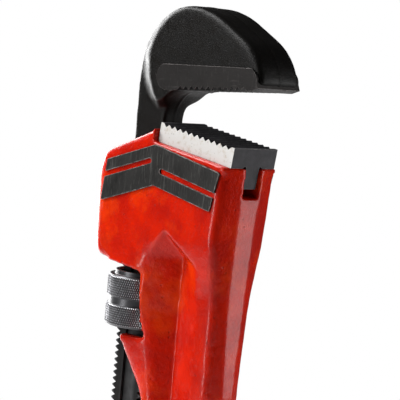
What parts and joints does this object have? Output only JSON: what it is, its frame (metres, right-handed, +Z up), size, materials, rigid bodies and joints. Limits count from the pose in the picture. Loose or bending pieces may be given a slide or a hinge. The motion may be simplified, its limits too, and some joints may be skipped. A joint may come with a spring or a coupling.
{
  "type": "pipe wrench",
  "caption": "Straight pipe wrench with a toothed hook jaw on a threaded shank, a knurled adjusting nut, a replaceable heel jaw and an I-beam handle with a hanging hole.",
  "frame": {"origin": "centre of the hanging hole through the end of the handle, midway across the wrench", "axes": "+Z up the handle towards the jaws, +X the way the jaws open (the heel jaw's front), +Y across the wrench along the hanging hole"},
  "size_m": [0.1006, 0.0338, 0.3495],
  "materials": {
    "red_enamel": "glossy orange-red enamel over a cast surface",
    "black_oxide": "satin black oxide on forged steel",
    "nut_steel": "black oxide, diamond knurled bands, worn bright at the edges",
    "heel_steel": "ground bright sides, black rough front and teeth",
    "pin_steel": "dark spring steel",
    "spring_steel": "blued spring steel"
  },
  "bodies": {
    "handle": {"handle_body": "red_enamel", "heel_jaw": "heel_steel", "heel_jaw_pin": "pin_steel", "coil_spring": "spring_steel", "spring_rivet": "spring_steel"},
    "shank_guide": {"flat_spring": "spring_steel"},
    "moving_jaw": {"hook_jaw": "black_oxide"},
    "nut": {"adjusting_nut": "nut_steel"}
  },
  "joints": [
    {"name": "jaw_rock", "type": "hinge", "parent": "handle", "child": "shank_guide", "pos_m": [-0.0336, 0, 0.205], "axis": [0, 1, 0], "range_deg": [-2.5, 0], "stiffness_Nm_per_rad": 12, "springref_deg": 5.16, "deforming": ["flat_spring", "coil_spring"]},
    {"name": "nut_spin", "type": "hinge", "parent": "shank_guide", "child": "nut", "pos_m": [-0.0336, 0, 0.205], "axis": [0.0419, 0, 0.9991], "range_deg": [-4720, 1370]},
    {"name": "jaw_slide", "type": "slide", "parent": "shank_guide", "child": "moving_jaw", "axis": [0.0419, 0, 0.9991], "range_m": [-0.011, 0.038]}
  ],
  "couplings": [
    {"joint": "nut_spin", "follows": "jaw_slide", "rad_per_m": -2166.6}
  ]
}
